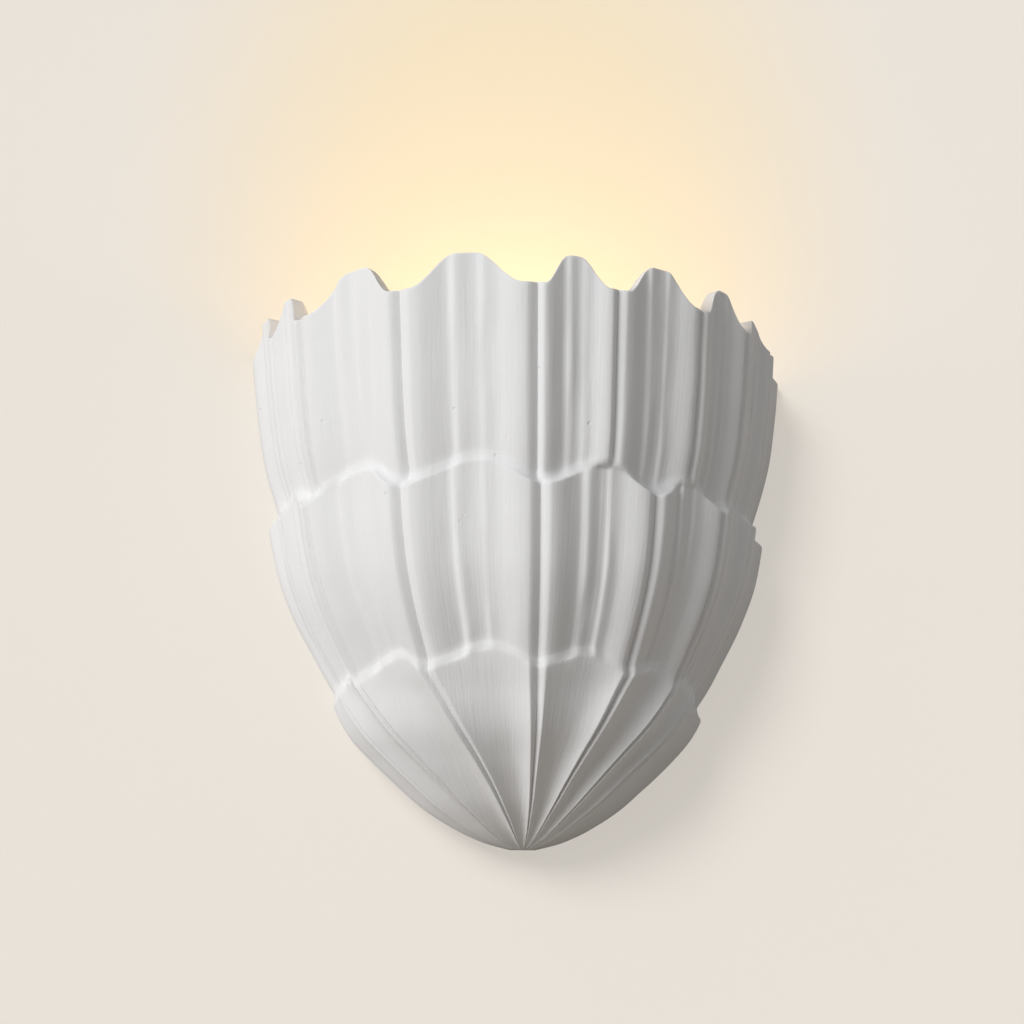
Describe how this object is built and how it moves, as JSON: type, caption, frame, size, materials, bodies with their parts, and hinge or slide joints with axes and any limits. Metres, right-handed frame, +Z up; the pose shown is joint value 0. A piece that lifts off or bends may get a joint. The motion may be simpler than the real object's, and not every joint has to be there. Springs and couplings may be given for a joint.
{
  "type": "wall sconce",
  "caption": "Half-round plaster wall uplighter in three fluted, scalloped tiers, hung on a steel plate with a lampholder and lamp.",
  "frame": {"origin": "middle of the wall plate's back face, on the wall", "axes": "+Z up, +Y into the wall, -Y towards the room, +X to the right seen from the room"},
  "size_m": [0.2929, 0.1484, 0.3185],
  "materials": {
    "plaster": "matte cast plaster, off white, brushed along the flutes",
    "zinc_steel": "zinc-plated steel",
    "plate_steel": "pressed steel, white powder coat",
    "brass": "plain brass",
    "rubber": "black rubber",
    "block_plastic": "white moulded nylon",
    "tinned_copper": "tinned copper, crimped",
    "brown_sleeve": "brown silicone sleeve",
    "blue_sleeve": "blue silicone sleeve",
    "green_yellow_sleeve": "green and yellow sleeve",
    "holder_plastic": "white moulded thermoset",
    "ceramic": "glazed steatite",
    "nickel": "nickel-plated brass",
    "black_glass": "black glass",
    "lamp_plastic": "white moulded plastic",
    "diffuser": "opal diffuser, lit from inside",
    "led_board": "white coated aluminium board",
    "led_chip": "phosphor-coated LEDs"
  },
  "bodies": {
    "bracket": {"wall_plate": "plate_steel", "hanging_studs": "zinc_steel", "cable_grommet": "rubber", "lamp_arm": "plate_steel", "lamp_arm_screws": "zinc_steel", "terminal_block": "block_plastic", "terminal_inserts": "brass", "terminal_screws": "zinc_steel", "terminal_fixing_screw": "zinc_steel", "earth_ring": "tinned_copper", "earth_washer": "zinc_steel", "earth_screw": "brass", "live_lead": "brown_sleeve", "neutral_lead": "blue_sleeve", "earth_lead": "green_yellow_sleeve", "nipple": "zinc_steel", "nipple_washer": "zinc_steel", "nipple_nut": "zinc_steel", "holder_dome": "holder_plastic", "holder_skirt": "holder_plastic", "holder_core": "ceramic", "screw_shell": "brass", "centre_contact": "brass", "holder_terminals": "brass"},
    "shade": {"plaster_shade": "plaster", "hanger_bar": "zinc_steel", "shade_inserts": "brass", "hanger_washers": "zinc_steel", "hanger_screws": "zinc_steel"},
    "lamp": {"lamp_cap": "nickel", "cap_insulator": "black_glass", "cap_contact": "nickel", "lamp_housing": "lamp_plastic", "lamp_globe": "diffuser", "led_board": "led_board", "led_chips": "led_chip"}
  },
  "joints": [
    {"name": "shade_lift", "type": "slide", "parent": "bracket", "child": "shade", "axis": [0, 0, 1], "range_m": [0, 0.011]},
    {"name": "lamp_out", "type": "slide", "parent": "bracket", "child": "lamp", "axis": [0, 0, 1], "range_m": [0, 0.16]}
  ]
}
